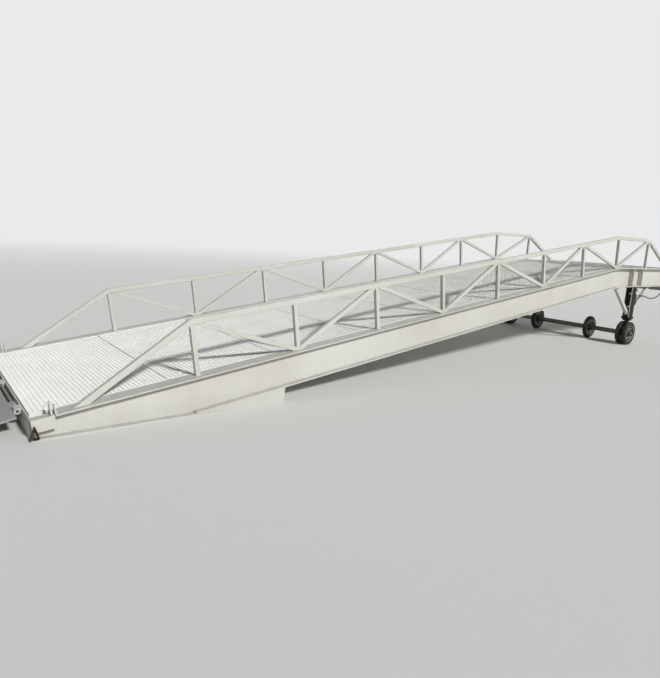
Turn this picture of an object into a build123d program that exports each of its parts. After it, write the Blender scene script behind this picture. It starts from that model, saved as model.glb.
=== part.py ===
from build123d import *
from math import asin, atan2, cos, hypot, radians, sin, tan
import os

os.makedirs("parts", exist_ok=True)

# Mobile yard ramp, in millimetres. +Z is up, +X runs from the ground end to the dock end
# and -Y is the near side. The ground is at Z = 0 and the origin is midway along and across.

# Stringers: one welded I-beam each side, rising to a kink and then level
slope = 7.7  # degrees
panel = 1000.0  # from guard post to guard post, along the beam
incline_panels = 7
platform_length = 2400.0
low_reach = 1250.0  # level distance from the first post to the beam's ground end
first_post_top = 320.0  # beam's top above the ground at the first post
beam_spacing = 2220.0  # web to web
beam_depth = 300.0
beam_width = 150.0
web_thickness = 8.0
flange_thickness = 11.0
flange_setback = 160.0  # level distance from the beam's ground end to the top flange

# Shoes under the ground end
sole_thickness = 12.0
shoe_reach = 820.0  # level distance from the first post to the wedge's heel
wedge_width = 146.0

# Deck: cross channels and drop-in grating panels
grating_depth = 40.0
grating_pitch = 34.0  # nearly, as a panel's ribs share its length evenly
grating_bar = 5.0
grating_frame = 8.0
deck_clearance = 5.0  # from the flange's edge to the panels and the hinged leaves
panel_gap = 4.0
incline_gratings = 8
platform_gratings = 2
channel_depth = 120.0
channel_width = 55.0
channel_wall = 7.0
kink_clearance = 20.0
platform_channels = 4
end_plate_thickness = 12.0
low_plate_bottom = 20.0  # above the ground
high_plate_depth = 220.0

# Web stiffeners beside each leg
stiffener_offset = 160.0
stiffener_thickness = 10.0

# Guards: trussed square tube on each stringer
guard_height = 480.0
chord_size = 50.0
post_size = 40.0
low_foot = 910.0  # along the beam from the first post to the end brace's foot
high_foot = 870.0

# Hinges of the entry flap and of the dock lip
knuckle_radius = 22.0
pin_radius = 12.0
pin_clearance = 0.4
hinge_clearance = 6.0
knuckle_length = 100.0
fixed_knuckles = (-800.0, 0.0, 800.0)
leaf_knuckles = (-690.0, 690.0)
flap_length = 640.0
flap_thickness = 12.0
lip_length = 400.0
lip_thickness = 15.0
nose_length = 30.0
nose_height = 4.0

# Telescopic legs, from the kink
leg_offset = 640.0
leg_size = 120.0
leg_wall = 8.0
leg_corner = 14.0  # outer radius of the tube's corners
leg_clearance = 0.3
leg_bottom = 430.0
leg_head = 12.0
leg_head_length = 200.0
gusset_height = 50.0
gusset_thickness = 10.0
collar_height = 34.0
collar_wall = 8.0
stem_wall = 8.0
stem_bottom = 400.0
stem_top_gap = 10.0
foot_cap = 12.0
foot_thickness = 30.0
foot_radius = 60.0
brace_size = 50.0
brace_spread = 570.0
brace_meeting = 440.0  # height where the braces' centre lines meet the leg

# Axle and wheels
wheel_radius = 190.0
tyre_depth = 60.0
tyre_width = 60.0
shoulder = 8.0
rim_wall = 12.0
rim_inset = 2.0
disc_thickness = 12.0
hub_wall = 26.0
hub_length = 64.0
axle_radius = 38.0
spindle_radius = 22.5
bearing_clearance = 0.3
twin_gap = 10.0  # between the foot plate and each twin wheel
inner_wheel_y = 500.0
collar_width = 14.0
collar_step = 12.0
axle_shoulder_gap = 20.0
nut_thickness = 14.0
nut_radius = 36.0

# Hand pump on the near leg, its hose and the pipe to the far leg
tank_length = 90.0
tank_width = 80.0
tank_bottom = 660.0
tank_height = 170.0
tank_corner = 10.0
pump_radius = 22.0
pump_length = 50.0
pump_head_length = 54.0
lever_radius = 13.0
lever_bore = 9.0
lever_length = 80.0
hose_radius = 8.0
fitting_radius = 13.0
fitting_length = 30.0
pipe_radius = 6.0
pipe_bend = 18.0
pipe_clearance = 0.3
block_size = 40.0

# Tow gear at the two ground corners
socket_height = 95.0
socket_width = 70.0
socket_wall = 6.0
socket_gap = 5.0  # to the top flange's end
lug_thickness = 12.0
lug_gap = 16.0
lug_width = 56.0
lug_chamfer = 14.0
lug_bore = 22.0
lug_bore_height = 42.0
lug_heights = {"outer": 95.0, "inner": 70.0}
link_bar = 14.0
link_width = 68.0
link_height = 100.0
link_pin_radius = 9.0
link_place = 22.0  # from the beam's ground end
link_drop = 61.0  # its pin below the beam's top

# Worked out from the sizes above
angle = radians(slope)
rise = tan(angle)
lean = tan(angle / 2)
beam_y = beam_spacing / 2
deck_half = beam_y - beam_width / 2 - deck_clearance
incline_length = incline_panels * panel
knuckle_reach = knuckle_radius + hinge_clearance

low_top = first_post_top - low_reach * rise
flap_pin_z = low_top - knuckle_radius
flap_under = knuckle_radius - flap_thickness
flap_angle = asin(flap_pin_z / hypot(flap_length, flap_under)) + atan2(flap_under, flap_length)
flap_reach = (
    knuckle_reach
    + flap_length * cos(flap_angle)
    + (flap_under + nose_height) * sin(flap_angle)
)
lip_reach = knuckle_reach + knuckle_radius
overall_length = (
    flap_reach + low_reach + incline_length * cos(angle) + platform_length + lip_reach
)

low_x = flap_reach - overall_length / 2
first_post_x = low_x + low_reach
kink_x = first_post_x + incline_length * cos(angle)
kink_z = first_post_top + incline_length * sin(angle)
end_x = kink_x + platform_length
under_z = kink_z - beam_depth
leg_x = kink_x + leg_offset

side_offset = {"near": beam_y, "far": -beam_y}  # along the normal of Plane.XZ, which is -Y
side_sign = {"near": -1, "far": 1}  # along Y


def incline_z(x, drop):
    """Height of the line that lies drop below the beam's top, on the incline."""
    return first_post_top + (x - first_post_x) * rise - drop / cos(angle)


def strip(low, upper, lower):
    """Side outline between two depths below the beam's top, mitred at the kink."""
    return [
        (low, incline_z(low, upper)),
        (kink_x + upper * lean, kink_z - upper),
        (end_x, kink_z - upper),
        (end_x, kink_z - lower),
        (kink_x + lower * lean, kink_z - lower),
        (low, incline_z(low, lower)),
    ]


def deck_point(along, height):
    """Side view point at a distance along the deck from the first post, and square above it."""
    if along < incline_length:
        x = first_post_x + along * cos(angle) - height * sin(angle)
        return (x, first_post_top + along * sin(angle) + height * cos(angle))
    if along == incline_length:
        return (kink_x - height * lean, kink_z + height)
    return (kink_x + along - incline_length, kink_z + height)


def bar(start, end, width):
    """Side outline of a straight bar between two points of its centre line."""
    run = (end[0] - start[0], end[1] - start[1])
    length = hypot(*run)
    across = (-run[1] / length * width / 2, run[0] / length * width / 2)
    return [
        (start[0] + across[0], start[1] + across[1]),
        (end[0] + across[0], end[1] + across[1]),
        (end[0] - across[0], end[1] - across[1]),
        (start[0] - across[0], start[1] - across[1]),
    ]


def slope_at(along):
    """Direction of the deck, as an angle, at a distance from the first post."""
    return angle if along < incline_length else 0.0


def side_plane(along):
    """Plane square across the ramp: x along the deck, y square up from it."""
    x, z = deck_point(along, 0)
    tilt = slope_at(along)
    return Plane(origin=(x, 0, z), x_dir=(cos(tilt), 0, sin(tilt)), z_dir=(0, -1, 0))


def top_plane(along):
    """Plane of the deck's surface: x along the deck, y across."""
    x, z = deck_point(along, 0)
    tilt = slope_at(along)
    return Plane(origin=(x, 0, z), x_dir=(cos(tilt), 0, sin(tilt)), z_dir=(-sin(tilt), 0, cos(tilt)))


def section_plane(along):
    """Plane facing along the incline: x across the ramp, y square up from the deck."""
    x, z = deck_point(along, 0)
    return Plane(origin=(x, 0, z), x_dir=(0, 1, 0), z_dir=(cos(angle), 0, sin(angle)))


# Stringers. The web is cut level along the ground end, where the flanges stop short of its tip
low_along = -low_reach / cos(angle)
heel_start_x = first_post_x - (first_post_top - beam_depth / cos(angle) - sole_thickness) / rise
flange_low_x = low_x + flange_setback
web_outline = [
    (low_x, sole_thickness),
    (low_x, low_top),
    (kink_x, kink_z),
    (end_x, kink_z),
    (end_x, under_z),
    (kink_x + beam_depth * lean, under_z),
    (heel_start_x, sole_thickness),
]
flange_outlines = (
    strip(flange_low_x, 0, flange_thickness),
    strip(heel_start_x, beam_depth - flange_thickness, beam_depth),
)
for side, web_offset in side_offset.items():
    with BuildPart() as web:
        with BuildSketch(Plane.XZ.offset(web_offset)):
            Polygon(*web_outline, align=None)
            for outline in flange_outlines:
                Polygon(*outline, align=None, mode=Mode.SUBTRACT)
        extrude(amount=web_thickness / 2, both=True)
    web.part.label = f"stringer_web_{side}"
    export_step(web.part, f"parts/stringer_web_{side}.step")

    with BuildPart() as flanges:
        with BuildSketch(Plane.XZ.offset(web_offset)):
            for outline in flange_outlines:
                Polygon(*outline, align=None)
        extrude(amount=beam_width / 2, both=True)
    flanges.part.label = f"stringer_flanges_{side}"
    export_step(flanges.part, f"parts/stringer_flanges_{side}.step")

# Shoes: a flat sole on the ground and a closed wedge under the bottom flange
shoe_x = first_post_x + shoe_reach
shoe_z = incline_z(shoe_x, beam_depth)
for side, web_offset in side_offset.items():
    with BuildPart() as shoe:
        with BuildSketch(Plane.XZ.offset(web_offset)):
            Polygon((low_x, 0), (shoe_x, 0), (shoe_x, sole_thickness), (low_x, sole_thickness), align=None)
        extrude(amount=beam_width / 2, both=True)
        with BuildSketch(Plane.XZ.offset(web_offset)):
            Polygon((heel_start_x, sole_thickness), (shoe_x, sole_thickness), (shoe_x, shoe_z), align=None)
        extrude(amount=wedge_width / 2, both=True)
    shoe.part.label = f"shoe_{side}"
    export_step(shoe.part, f"parts/shoe_{side}.step")

# Web stiffeners: plates on both faces of each web, over the legs
stiffener_width = (beam_width - web_thickness) / 2
stiffener_middle = (web_thickness + stiffener_width) / 2
with BuildPart() as web_stiffeners:
    for web_y in (-beam_y, beam_y):
        for face in (-1, 1):
            middle = Plane(origin=(leg_x, web_y + face * stiffener_middle, under_z + flange_thickness))
            with BuildSketch(middle):
                with GridLocations(2 * stiffener_offset, 0, 2, 1):
                    Rectangle(stiffener_thickness, stiffener_width)
            extrude(amount=beam_depth - 2 * flange_thickness)
web_stiffeners.part.label = "web_stiffeners"
export_step(web_stiffeners.part, "parts/web_stiffeners.step")

# Cross channels from web to web, open towards the dock end
inner_half = beam_y - web_thickness / 2
channel_outline = [
    (0, -grating_depth),
    (channel_width, -grating_depth),
    (channel_width, -grating_depth - channel_wall),
    (channel_wall, -grating_depth - channel_wall),
    (channel_wall, -grating_depth - channel_depth + channel_wall),
    (channel_width, -grating_depth - channel_depth + channel_wall),
    (channel_width, -grating_depth - channel_depth),
    (0, -grating_depth - channel_depth),
]
grating_start = low_along + end_plate_thickness / cos(angle) + panel_gap
kink_gap = grating_depth * rise  # the panels' undersides close up at the kink
incline_grating = (incline_length - kink_gap - grating_start) / incline_gratings
platform_grating = (platform_length - end_plate_thickness - panel_gap) / platform_gratings
incline_stations = [
    grating_start + half * incline_grating / 2 - channel_width / 2
    for half in range(1, 2 * incline_gratings)
]
incline_stations.append(incline_length - channel_width - kink_clearance)
channel_pitch = (platform_length - end_plate_thickness) / platform_channels
platform_stations = [
    incline_length + kink_clearance + number * channel_pitch for number in range(platform_channels)
]
for name, stations in (("incline", incline_stations), ("platform", platform_stations)):
    with BuildPart() as channels:
        for along in stations:
            with BuildSketch(side_plane(along)):
                Polygon(*channel_outline, align=None)
            extrude(amount=inner_half, both=True)
    channels.part.label = f"cross_channels_{name}"
    export_step(channels.part, f"parts/cross_channels_{name}.step")

# Grating panels: transverse ribs in an edge frame
rib_length = 2 * (deck_half - grating_frame)
grating_table = [  # number, start along the deck, length
    (number + 1, grating_start + number * incline_grating, incline_grating)
    for number in range(incline_gratings)
] + [
    (incline_gratings + number + 1, incline_length + number * platform_grating, platform_grating)
    for number in range(platform_gratings)
]
for number, start, length in grating_table:
    with BuildPart() as grating:
        with BuildSketch(top_plane(start)):
            with Locations((length / 2, 0)):
                Rectangle(length - panel_gap, 2 * deck_half)
                rib_run = length - panel_gap - 2 * grating_frame + grating_bar
                slots = round(rib_run / grating_pitch)
                pitch = rib_run / slots
                with GridLocations(pitch, 0, slots, 1):
                    Rectangle(pitch - grating_bar, rib_length, mode=Mode.SUBTRACT)
        extrude(amount=-grating_depth)
    grating.part.label = f"grating_{number}"
    export_step(grating.part, f"parts/grating_{number}.step")

# Guards. Square posts, mitred chord with its end braces, and diagonals that meet
# at the top of the odd posts and at the foot of the even ones
post_count = incline_panels + 2
chord_under = guard_height - chord_size
chord_middle = guard_height - chord_size / 2
guard_window = strip(low_x, -chord_under, 0)
above_deck = strip(low_x, -2 * guard_height, 0)
posts = [
    bar(deck_point(number * panel, -post_size), deck_point(number * panel, guard_height), post_size)
    for number in range(post_count)
]
chord_line = [
    deck_point(-low_foot, 0),
    deck_point(0, chord_middle),
    deck_point(incline_length, chord_middle),
    deck_point(incline_length + panel, chord_middle),
    deck_point(incline_length + panel + high_foot, 0),
]


def stretched(start, end, extra):
    """The end point moved on past itself by extra, along the line from start."""
    length = hypot(end[0] - start[0], end[1] - start[1])
    scale = 1 + extra / length
    return (start[0] + (end[0] - start[0]) * scale, start[1] + (end[1] - start[1]) * scale)


def mitred_outline(points, width):
    """Side outline of a bar of constant width along a bent centre line, mitred at its bends."""
    edges = {1: [], -1: []}
    for hand, edge in edges.items():
        for index, (x, z) in enumerate(points):
            before = points[max(index - 1, 0)]
            after = points[min(index + 1, len(points) - 1)]
            heading_in = atan2(z - before[1], x - before[0]) if index else None
            heading_out = atan2(after[1] - z, after[0] - x) if index < len(points) - 1 else None
            heading_in = heading_out if heading_in is None else heading_in
            heading_out = heading_in if heading_out is None else heading_out
            middle = (heading_in + heading_out) / 2
            reach = hand * width / 2 / cos((heading_out - heading_in) / 2)
            edge.append((x - reach * sin(middle), z + reach * cos(middle)))
    return edges[1] + edges[-1][::-1]


chord_outline = mitred_outline(
    [stretched(chord_line[1], chord_line[0], 2 * chord_size)]
    + chord_line[1:-1]
    + [stretched(chord_line[-2], chord_line[-1], 2 * chord_size)],
    chord_size,
)
for side, web_offset in side_offset.items():
    with BuildPart() as chord:
        with BuildSketch(Plane.XZ.offset(web_offset)):
            Polygon(*chord_outline, align=None)
            Polygon(*above_deck, align=None, mode=Mode.INTERSECT)
        extrude(amount=chord_size / 2, both=True)
    chord.part.label = f"guard_chord_{side}"
    export_step(chord.part, f"parts/guard_chord_{side}.step")

    with BuildPart() as guard_posts:
        with BuildSketch(Plane.XZ.offset(web_offset)):
            for outline in posts:
                Polygon(*outline, align=None)
            Polygon(*guard_window, align=None, mode=Mode.INTERSECT)
            Polygon(*chord_outline, align=None, mode=Mode.SUBTRACT)
        extrude(amount=post_size / 2, both=True)
    guard_posts.part.label = f"guard_posts_{side}"
    export_step(guard_posts.part, f"parts/guard_posts_{side}.step")

    with BuildPart() as diagonals:
        with BuildSketch(Plane.XZ.offset(web_offset)):
            for number in range(post_count - 1):
                start_height, end_height = (chord_middle, 0) if number % 2 == 0 else (0, chord_middle)
                start = deck_point(number * panel, start_height)
                end = deck_point((number + 1) * panel, end_height)
                Polygon(*bar(start, end, post_size), align=None)
            Polygon(*guard_window, align=None, mode=Mode.INTERSECT)
            for outline in posts:
                Polygon(*outline, align=None, mode=Mode.SUBTRACT)
        extrude(amount=post_size / 2, both=True)
    diagonals.part.label = f"guard_diagonals_{side}"
    export_step(diagonals.part, f"parts/guard_diagonals_{side}.step")


def knuckle_row(plane, stations, root_reach, root_thickness):
    """Hinge knuckles along a pin, each on a tab that leads to its plate.

    The plane's origin is on the pin, its x leads to the plate and its y is the flush side.
    """
    with BuildPart() as row:
        for station in stations:
            middle = plane.offset(station)
            with BuildSketch(middle):
                Circle(knuckle_radius)
                Polygon(
                    (0, knuckle_radius - root_thickness),
                    (root_reach, knuckle_radius - root_thickness),
                    (root_reach, knuckle_radius),
                    (0, knuckle_radius),
                    align=None,
                )
                Circle(pin_radius + pin_clearance, mode=Mode.SUBTRACT)
            extrude(amount=knuckle_length / 2, both=True)
    return row.part


def hinge_leaf(plane, length, thickness):
    """Flat leaf hung on a pin, with a nose bevelled on its top side."""
    under = knuckle_radius - thickness
    with BuildPart() as leaf:
        with BuildSketch(plane):
            Polygon(
                (knuckle_reach, under),
                (length, under),
                (length, under + nose_height),
                (length - nose_length, knuckle_radius),
                (knuckle_reach, knuckle_radius),
                align=None,
            )
        extrude(amount=deck_half, both=True)
        add(knuckle_row(plane, leaf_knuckles, knuckle_reach, thickness))
    return leaf.part


# End plates between the webs, each with its fixed knuckles
low_pin = (low_x - knuckle_reach, 0, flap_pin_z)
high_pin = (end_x + knuckle_reach, 0, kink_z - knuckle_radius)
with BuildPart() as low_end_plate:
    with BuildSketch(Plane.XZ):
        Polygon(
            (low_x, low_plate_bottom),
            (low_x + end_plate_thickness, low_plate_bottom),
            (low_x + end_plate_thickness, low_top),
            (low_x, low_top),
            align=None,
        )
    extrude(amount=inner_half, both=True)
    toward_ramp = Plane(origin=low_pin, x_dir=(1, 0, 0), z_dir=(0, -1, 0))
    add(knuckle_row(toward_ramp, fixed_knuckles, knuckle_reach, end_plate_thickness))
low_end_plate.part.label = "low_end_plate"
export_step(low_end_plate.part, "parts/low_end_plate.step")

with BuildPart() as high_end_plate:
    plate_height = high_plate_depth - flange_thickness
    with BuildSketch(Plane(origin=(end_x, 0, kink_z), x_dir=(0, 1, 0), z_dir=(1, 0, 0))):
        with Locations((0, -flange_thickness - plate_height / 2)):
            Rectangle(2 * inner_half, plate_height)
        with Locations((0, -flange_thickness / 2)):
            Rectangle(beam_spacing - beam_width, flange_thickness)
    extrude(amount=-end_plate_thickness)
    toward_platform = Plane(origin=high_pin, x_dir=(-1, 0, 0), z_dir=(0, 1, 0))
    add(knuckle_row(toward_platform, fixed_knuckles, knuckle_reach, end_plate_thickness))
high_end_plate.part.label = "high_end_plate"
export_step(high_end_plate.part, "parts/high_end_plate.step")

# Hinge pins
for name, centre in (("flap_pin", low_pin), ("lip_pin", high_pin)):
    with BuildPart() as hinge_pin:
        with BuildSketch(Plane(origin=centre, x_dir=(1, 0, 0), z_dir=(0, -1, 0))):
            Circle(pin_radius)
        extrude(amount=fixed_knuckles[-1] + knuckle_length / 2, both=True)
    hinge_pin.part.label = name
    export_step(hinge_pin.part, f"parts/{name}.step")

# Entry flap, lying on the ground at its nose
down_slope = (-cos(flap_angle), 0, -sin(flap_angle))
with BuildPart() as entry_flap:
    add(hinge_leaf(Plane(origin=low_pin, x_dir=down_slope, z_dir=(0, 1, 0)), flap_length, flap_thickness))
entry_flap.part.label = "entry_flap"
export_step(entry_flap.part, "parts/entry_flap.step")

# Dock lip, hanging from its pin
with BuildPart() as dock_lip:
    add(hinge_leaf(Plane(origin=high_pin, x_dir=(0, 0, -1), z_dir=(0, -1, 0)), lip_length, lip_thickness))
dock_lip.part.label = "dock_lip"
export_step(dock_lip.part, "parts/dock_lip.step")

# Legs: the fixed outer tube with its head plate, gussets and collar, and its two braces
leg_top = under_z - leg_head
leg_inside = leg_size - 2 * leg_wall
below_beam = [
    (leg_x - 2 * brace_spread, 0),
    (leg_x + 2 * brace_spread, 0),
    (leg_x + 2 * brace_spread, under_z),
    (leg_x - 2 * brace_spread, under_z),
]
collar_size = leg_size + 2 * collar_wall
for side, sign in side_sign.items():
    with BuildPart() as leg_outer:
        with BuildSketch(Plane(origin=(leg_x, sign * beam_y, leg_bottom))):
            RectangleRounded(leg_size, leg_size, leg_corner)
            Rectangle(leg_inside, leg_inside, mode=Mode.SUBTRACT)
        extrude(amount=leg_top - leg_bottom)
        with BuildSketch(Plane(origin=(leg_x, sign * beam_y, leg_bottom))):
            Rectangle(collar_size, collar_size)
            Rectangle(leg_inside, leg_inside, mode=Mode.SUBTRACT)
        extrude(amount=collar_height)
        with BuildSketch(Plane(origin=(leg_x, sign * beam_y, leg_top))):
            Rectangle(leg_head_length, beam_width)
        extrude(amount=leg_head)
        with BuildSketch(Plane.XZ.offset(side_offset[side])):
            for hand in (-1, 1):
                Polygon(
                    (leg_x + hand * leg_size / 2, leg_top),
                    (leg_x + hand * leg_head_length / 2, leg_top),
                    (leg_x + hand * leg_size / 2, leg_top - gusset_height),
                    align=None,
                )
        extrude(amount=gusset_thickness / 2, both=True)
    leg_outer.part.label = f"leg_outer_{side}"
    export_step(leg_outer.part, f"parts/leg_outer_{side}.step")

    with BuildPart() as leg_braces:
        with BuildSketch(Plane.XZ.offset(side_offset[side])):
            for hand in (-1, 1):
                meeting = (leg_x, brace_meeting + collar_height)
                head = (leg_x + hand * brace_spread, under_z)
                Polygon(*bar(meeting, stretched(meeting, head, brace_size), brace_size), align=None)
            Polygon(*below_beam, align=None, mode=Mode.INTERSECT)
            with Locations((leg_x, leg_bottom + collar_height / 2)):
                Rectangle(collar_size, collar_height, mode=Mode.SUBTRACT)
            with Locations((leg_x, (leg_bottom + leg_top) / 2)):
                Rectangle(leg_size, leg_top - leg_bottom, mode=Mode.SUBTRACT)
        extrude(amount=brace_size / 2, both=True)
    leg_braces.part.label = f"leg_braces_{side}"
    export_step(leg_braces.part, f"parts/leg_braces_{side}.step")

# Undercarriage: sliding stems with their foot plates, and the axle through them
axle_z = wheel_radius
stem_size = leg_inside - 2 * leg_clearance
stem_top = leg_top - stem_top_gap
for side, sign in side_sign.items():
    with BuildPart() as stem:
        with BuildSketch(Plane(origin=(leg_x, sign * beam_y, stem_bottom))):
            Rectangle(stem_size, stem_size)
        extrude(amount=foot_cap)
        with BuildSketch(Plane(origin=(leg_x, sign * beam_y, stem_bottom + foot_cap))):
            Rectangle(stem_size, stem_size)
            Rectangle(stem_size - 2 * stem_wall, stem_size - 2 * stem_wall, mode=Mode.SUBTRACT)
        extrude(amount=stem_top - stem_bottom - foot_cap)
        foot_centre = Plane(origin=(leg_x, sign * beam_y, axle_z), x_dir=(1, 0, 0), z_dir=(0, -1, 0))
        with BuildSketch(foot_centre):
            Circle(foot_radius)
            Polygon(
                (-foot_radius, 0),
                (foot_radius, 0),
                (stem_size / 2, stem_bottom - axle_z),
                (-stem_size / 2, stem_bottom - axle_z),
                align=None,
            )
            Circle(spindle_radius + bearing_clearance, mode=Mode.SUBTRACT)
        extrude(amount=foot_thickness / 2, both=True)
    stem.part.label = f"leg_stem_{side}"
    export_step(stem.part, f"parts/leg_stem_{side}.step")

twin_offset = foot_thickness / 2 + twin_gap + tyre_width / 2
twin_outside = beam_y + twin_offset + hub_length / 2
axle_shoulder = beam_y - twin_offset - hub_length / 2 - axle_shoulder_gap
axle_centre = Plane(origin=(leg_x, 0, axle_z), x_dir=(1, 0, 0), z_dir=(0, -1, 0))
with BuildPart() as axle:
    with BuildSketch(axle_centre):
        Circle(axle_radius)
    extrude(amount=axle_shoulder, both=True)
    with BuildSketch(axle_centre):
        Circle(spindle_radius)
    extrude(amount=twin_outside + bearing_clearance + nut_thickness, both=True)
    for hand in (-1, 1):
        for face in (-1, 1):
            near_face = hub_length / 2 + bearing_clearance
            collar_y = hand * inner_wheel_y + face * (near_face + collar_width / 2)
            with BuildSketch(axle_centre.offset(collar_y)):
                Circle(axle_radius + collar_step)
            extrude(amount=collar_width / 2, both=True)
        nut_y = hand * (twin_outside + bearing_clearance + nut_thickness / 2)
        with BuildSketch(axle_centre.offset(nut_y)):
            RegularPolygon(nut_radius, 6)
        extrude(amount=nut_thickness / 2, both=True)
axle.part.label = "axle"
export_step(axle.part, "parts/axle.step")

# Wheels: solid tyres on disc hubs, twin wheels outside and a single one inside
wheel_table = {  # name: the places of its discs across the ramp, the radius it runs on
    "near_twin": ((-beam_y - twin_offset, -beam_y + twin_offset), spindle_radius),
    "near_inner": ((-inner_wheel_y,), axle_radius),
    "far_inner": ((inner_wheel_y,), axle_radius),
    "far_twin": ((beam_y - twin_offset, beam_y + twin_offset), spindle_radius),
}
tyre_inside = wheel_radius - tyre_depth
rim_width = tyre_width - 2 * rim_inset
for name, (places, journal) in wheel_table.items():
    turning = Axis((leg_x, 0, axle_z), (0, 1, 0))
    bore = journal + bearing_clearance
    with BuildPart() as tyres:
        for place in places:
            with BuildSketch(Plane(origin=(leg_x, place, axle_z))):
                with Locations((tyre_inside + tyre_depth / 2, 0)):
                    Rectangle(tyre_depth, tyre_width)
                chamfer(vertices().group_by(Axis.X)[-1], shoulder)
            revolve(axis=turning)
    tyres.part.label = f"tyre_{name}"
    export_step(tyres.part, f"parts/tyre_{name}.step")

    with BuildPart() as hubs:
        for place in places:
            with BuildSketch(Plane(origin=(leg_x, place, axle_z))):
                with Locations((tyre_inside - rim_wall / 2, 0)):
                    Rectangle(rim_wall, rim_width)
                with Locations(((bore + tyre_inside) / 2, 0)):
                    Rectangle(tyre_inside - bore, disc_thickness)
                with Locations((bore + hub_wall / 2, 0)):
                    Rectangle(hub_wall, hub_length)
            revolve(axis=turning)
    hubs.part.label = f"hub_{name}"
    export_step(hubs.part, f"parts/hub_{name}.step")

# Hand pump: tank on the near leg's dock side, with the pump barrel, its head and lever socket
tank_x = leg_x + leg_size / 2
tank_top = tank_bottom + tank_height
pump_x = tank_x + tank_length / 2
pump_y = -beam_y
head_z = tank_top + pump_length
with BuildPart() as pump:
    with BuildSketch(Plane(origin=(pump_x, pump_y, tank_bottom))):
        RectangleRounded(tank_length, tank_width, tank_corner)
    extrude(amount=tank_height)
    with BuildSketch(Plane(origin=(pump_x, pump_y, tank_top))):
        Circle(pump_radius)
    extrude(amount=pump_length)
    with BuildSketch(Plane(origin=(pump_x, pump_y, head_z))):
        Rectangle(pump_head_length, 2 * pump_radius)
    extrude(amount=2 * lever_radius)
    lever_root = (pump_x + pump_head_length / 2, pump_y, head_z + lever_radius)
    with BuildSketch(Plane(origin=lever_root, z_dir=(1, 0, 0))):
        Circle(lever_radius)
        Circle(lever_bore, mode=Mode.SUBTRACT)
    extrude(amount=lever_length)
pump.part.label = "hand_pump"
export_step(pump.part, "parts/hand_pump.step")

# Hose from the tank, over the brace's outer face and up to a block under the bottom flange
def bend_radii(points):
    """Radius of each arc of a cord: 0.45 of the shorter run over the tangent of half the turn."""
    radii = []
    for before, at, after in zip(points, points[1:], points[2:]):
        run_in = Vector(*at) - Vector(*before)
        run_out = Vector(*after) - Vector(*at)
        half_turn = radians(run_in.get_angle(run_out)) / 2
        radii.append(0.45 * min(run_in.length, run_out.length) / tan(half_turn))
    return radii


def round_tube(points, radii, radius):
    """Solid tube along straight runs joined by arcs."""
    with BuildPart() as tube:
        with BuildLine() as route:
            FilletPolyline(*points, radius=radii)
        with BuildSketch(Plane(origin=route.line @ 0, z_dir=route.line % 0)):
            Circle(radius)
        sweep(path=route.line)
    return tube.part


outlet_x = tank_x + tank_length
outlet_y = -beam_y - hose_radius - fitting_radius
outlet_z = tank_top - fitting_radius - hose_radius
block_along = platform_stations[-1] + channel_width / 2
block_x = deck_point(block_along, 0)[0]
block_y = -beam_y - beam_width / 2 + block_size / 2 + pipe_radius
block_z = under_z - block_size / 2
hose_start = outlet_x + fitting_length
hose_end = block_x - block_size / 2
hose_offsets = [  # beyond the outlet along X, out towards the near side, up
    (0, 0, 0),
    (62, 0, 0),
    (140, 16, -4),
    (225, 26, -14),
    (325, 27, -38),
    (435, 28, -56),
    (550, 28, -60),
    (660, 28, -46),
    (765, 27, -14),
    (855, 24, 32),
]
hose_end_offsets = [  # from the block's face along X, across, up
    (-84, -2, -34),
    (-34, 0, 0),
    (0, 0, 0),
]
hose_points = [(hose_start + x, outlet_y - y, outlet_z + z) for x, y, z in hose_offsets]
hose_points += [(hose_end + x, block_y + y, block_z + z) for x, y, z in hose_end_offsets]
hose_radii = bend_radii(hose_points)
print("hose radii", [round(radius) for radius in hose_radii])
with BuildPart() as pump_hose:
    add(round_tube(hose_points, hose_radii, hose_radius))
hose_length = sum((Vector(*b) - Vector(*a)).length for a, b in zip(hose_points, hose_points[1:]))
print("hose length", round(hose_length), "volume", round(pump_hose.part.volume))
pump_hose.part.label = "pump_hose"
export_step(pump_hose.part, "parts/pump_hose.step")

with BuildPart() as hose_fitting:
    with BuildSketch(Plane(origin=(outlet_x, outlet_y, outlet_z), z_dir=(1, 0, 0))):
        RegularPolygon(fitting_radius, 6)
    extrude(amount=fitting_length)
hose_fitting.part.label = "hose_fitting"
export_step(hose_fitting.part, "parts/hose_fitting.step")

with BuildPart() as hose_block:
    with BuildSketch(Plane(origin=(block_x, block_y, under_z))):
        Rectangle(block_size, block_size)
    extrude(amount=-block_size)
hose_block.part.label = "hose_block"
export_step(hose_block.part, "parts/hose_block.step")

# Steel pipe from the block, under the last cross channel and back to the far leg
pipe_inside = beam_y - beam_width / 2 - pipe_bend
pipe_high = kink_z - grating_depth - channel_depth - pipe_radius - pipe_clearance
pipe_low = leg_top - pipe_bend
far_leg_face = beam_y - leg_size / 2
pipe_points = [
    (block_x, block_y + block_size / 2, pipe_low),
    (block_x, -pipe_inside, pipe_low),
    (block_x, -pipe_inside, pipe_high),
    (block_x, pipe_inside, pipe_high),
    (block_x, pipe_inside, pipe_low),
    (leg_x, pipe_inside, pipe_low),
    (leg_x, far_leg_face, pipe_low),
]
with BuildPart() as leg_pipe:
    add(round_tube(pipe_points, pipe_bend, pipe_radius))
leg_pipe.part.label = "leg_pipe"
export_step(leg_pipe.part, "parts/leg_pipe.step")

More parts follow.
